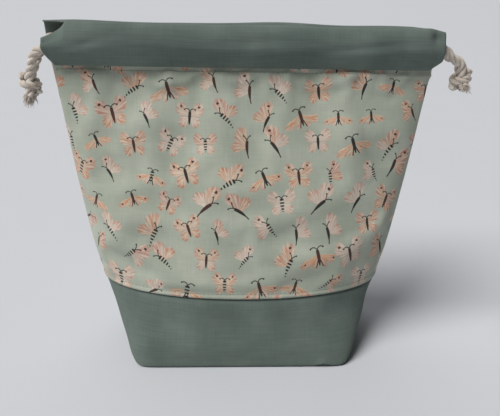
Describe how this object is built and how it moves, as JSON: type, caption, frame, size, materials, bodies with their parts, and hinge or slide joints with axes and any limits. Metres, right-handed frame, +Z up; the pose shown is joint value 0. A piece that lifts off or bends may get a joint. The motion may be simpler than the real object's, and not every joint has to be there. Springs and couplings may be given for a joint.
{
  "type": "drawstring knitting project bag",
  "caption": "Boxed-base fabric project bag with a printed wall front and back, a drawstring casing along the mouth and two knotted rope drawcords.",
  "frame": {"origin": "middle of the underside of the base, on the surface that the bag stands on", "axes": "+X to the right along the mouth, -Y out of the front wall, +Z up"},
  "size_m": [0.3552, 0.14, 0.2603],
  "materials": {
    "canvas": "sage green cotton canvas, plain weave, matt",
    "printed_cotton": "pale sage quilting cotton with an all-over print of small moths and butterflies",
    "lining": "natural cotton, plain weave",
    "interfacing": "white foam or fleece interfacing",
    "thread": "sage green sewing thread",
    "rope": "natural three-strand twisted cotton rope"
  },
  "bodies": {
    "root": {"base_panel_front": "canvas", "base_panel_back": "canvas", "base_interfacing_front": "interfacing", "base_interfacing_back": "interfacing", "base_lining_front": "lining", "base_lining_back": "lining"},
    "front_wall": {"print_panel_front": "printed_cotton", "wall_interfacing_front": "interfacing", "wall_lining_front": "lining", "casing_front": "canvas", "base_topstitch_front": "thread", "casing_topstitch_front": "thread"},
    "back_wall": {"print_panel_back": "printed_cotton", "wall_interfacing_back": "interfacing", "wall_lining_back": "lining", "casing_back": "canvas", "base_topstitch_back": "thread", "casing_topstitch_back": "thread"},
    "left_cord": {"left_cord_exit": "rope", "left_cord_bight": "rope"},
    "left_cord_front_run": {"left_cord_front_run": "rope"},
    "left_cord_back_run": {"left_cord_back_run": "rope"},
    "left_cord_knot": {"left_cord_knot": "rope"},
    "right_cord": {"right_cord_exit": "rope", "right_cord_bight": "rope"},
    "right_cord_front_run": {"right_cord_front_run": "rope"},
    "right_cord_back_run": {"right_cord_back_run": "rope"},
    "right_cord_knot": {"right_cord_knot": "rope"}
  },
  "joints": [
    {"name": "front_wall_lean", "type": "hinge", "parent": "root", "child": "front_wall", "pos_m": [0, -0.0537, 0.0563], "axis": [1, 0, 0], "range_deg": [0, 12]},
    {"name": "back_wall_lean", "type": "hinge", "parent": "root", "child": "back_wall", "pos_m": [0, 0.0537, 0.0563], "axis": [-1, 0, 0], "range_deg": [0, 12]},
    {"name": "left_cord_pull", "type": "slide", "parent": "root", "child": "left_cord", "axis": [-1, 0, 0], "range_m": [0, 0.012]},
    {"name": "left_cord_front_run_slide", "type": "slide", "parent": "front_wall", "child": "left_cord_front_run", "axis": [-1, 0, 0], "range_m": [0, 0.012]},
    {"name": "left_cord_back_run_slide", "type": "slide", "parent": "back_wall", "child": "left_cord_back_run", "axis": [-1, 0, 0], "range_m": [0, 0.012]},
    {"name": "left_knot_swing", "type": "hinge", "parent": "left_cord", "child": "left_cord_knot", "pos_m": [-0.156, 0, 0.2405], "axis": [0, 1, 0], "range_deg": [-10, 65]},
    {"name": "right_cord_pull", "type": "slide", "parent": "root", "child": "right_cord", "axis": [1, 0, 0], "range_m": [0, 0.012]},
    {"name": "right_cord_front_run_slide", "type": "slide", "parent": "front_wall", "child": "right_cord_front_run", "axis": [1, 0, 0], "range_m": [0, 0.012]},
    {"name": "right_cord_back_run_slide", "type": "slide", "parent": "back_wall", "child": "right_cord_back_run", "axis": [1, 0, 0], "range_m": [0, 0.012]},
    {"name": "right_knot_swing", "type": "hinge", "parent": "right_cord", "child": "right_cord_knot", "pos_m": [0.156, 0, 0.249], "axis": [0, -1, 0], "range_deg": [-10, 65]}
  ],
  "couplings": [
    {"joint": "back_wall_lean", "follows": "front_wall_lean", "ratio": 1},
    {"joint": "left_cord_front_run_slide", "follows": "left_cord_pull", "ratio": 1},
    {"joint": "left_cord_back_run_slide", "follows": "left_cord_pull", "ratio": 1},
    {"joint": "right_cord_front_run_slide", "follows": "right_cord_pull", "ratio": 1},
    {"joint": "right_cord_back_run_slide", "follows": "right_cord_pull", "ratio": 1}
  ]
}
